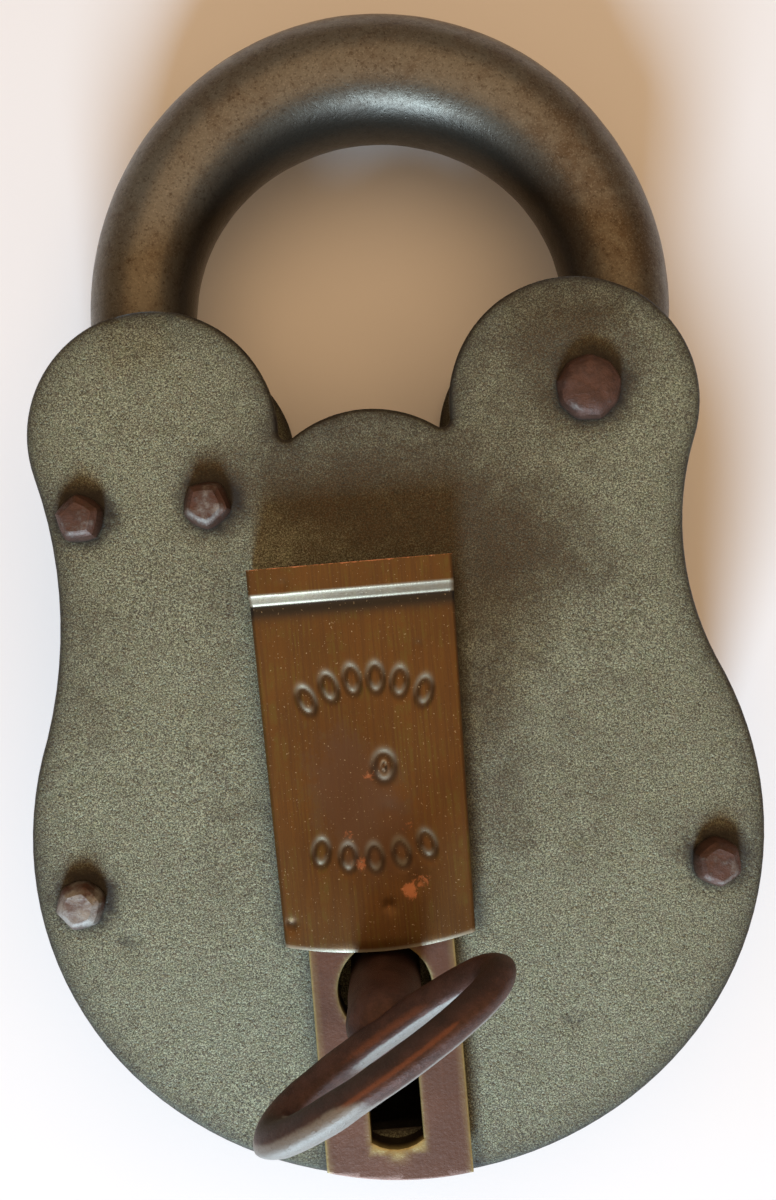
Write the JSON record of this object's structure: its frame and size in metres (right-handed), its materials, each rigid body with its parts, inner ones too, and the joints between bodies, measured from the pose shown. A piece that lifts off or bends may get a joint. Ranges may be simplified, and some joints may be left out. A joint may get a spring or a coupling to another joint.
{
  "type": "rusty pancake padlock with its key",
  "caption": "Weathered steel lever padlock with a swinging shackle, a brass keyhole cover that slides, and a pipe key standing in the lock.",
  "frame": {"origin": "centre of the round lower body, on the back plate's outer face", "axes": "+Z out of the front plate, +Y from the round body towards the shackle, +X to the right seen from the front"},
  "size_m": [0.0642, 0.1064, 0.0433],
  "materials": {
    "case_steel": "pitted, olive-grey with brown rust",
    "rivet_steel": "hammered, rusty brown",
    "shackle_steel": "worn satin, brown rust",
    "brass": "dull, tarnished",
    "cover_brass": "tarnished, scratched",
    "key_iron": "dark red-brown with bright wear",
    "inner_steel": "plain, dull",
    "spring_steel": "blued, dull"
  },
  "bodies": {
    "case": {"back_plate": "case_steel", "front_plate": "case_steel", "case_rim": "case_steel", "top_rim": "case_steel", "upper_rivet_outer": "rivet_steel", "upper_rivet_inner": "rivet_steel", "lower_rivet_left": "rivet_steel", "lower_rivet_right": "rivet_steel", "shackle_rivet": "rivet_steel", "keyhole_plate": "brass", "keyhole_plate_rivets": "brass", "drill_pin": "inner_steel", "bolt_guide_upper": "inner_steel", "bolt_guide_lower": "inner_steel", "lever_post": "inner_steel", "lever_washer": "inner_steel", "lever_sleeve": "inner_steel", "lever_spring_back": "spring_steel", "lever_spring_front": "spring_steel"},
    "shackle": {"shackle": "shackle_steel"},
    "cover": {"keyhole_cover": "cover_brass"},
    "key": {"key": "key_iron"},
    "bolt": {"bolt": "inner_steel", "bolt_stump": "inner_steel"},
    "lever_back": {"lever_back": "inner_steel"},
    "lever_front": {"lever_front": "inner_steel"}
  },
  "joints": [
    {"name": "shackle_swing", "type": "hinge", "parent": "case", "child": "shackle", "pos_m": [0.0198, 0.0366, 0.0105], "axis": [0, 0, -1], "range_deg": [0, 85]},
    {"name": "cover_slide", "type": "slide", "parent": "case", "child": "cover", "axis": [0, 1, 0], "range_m": [0, 0.004]},
    {"name": "key_turn", "type": "hinge", "parent": "case", "child": "key", "pos_m": [-0.0022, -0.01355, 0.0105], "axis": [0, 0, 1], "range_deg": [0, 118.8]},
    {"name": "bolt_slide", "type": "slide", "parent": "case", "child": "bolt", "axis": [-1, 0, 0], "range_m": [0, 0.0065]},
    {"name": "lever_back_lift", "type": "hinge", "parent": "case", "child": "lever_back", "pos_m": [0.015, -0.0013, 0.0124], "axis": [0, 0, -1], "range_deg": [0, 2.5], "stiffness_Nm_per_rad": 0.02, "springref_deg": -5.73, "deforming": ["lever_spring_back"]},
    {"name": "lever_front_lift", "type": "hinge", "parent": "case", "child": "lever_front", "pos_m": [0.015, -0.0013, 0.0146], "axis": [0, 0, -1], "range_deg": [0, 2.5], "stiffness_Nm_per_rad": 0.02, "springref_deg": -5.73, "deforming": ["lever_spring_front"]}
  ],
  "couplings": [
    {"joint": "key_turn", "follows": "bolt_slide", "rad_per_m": 318.9}
  ]
}
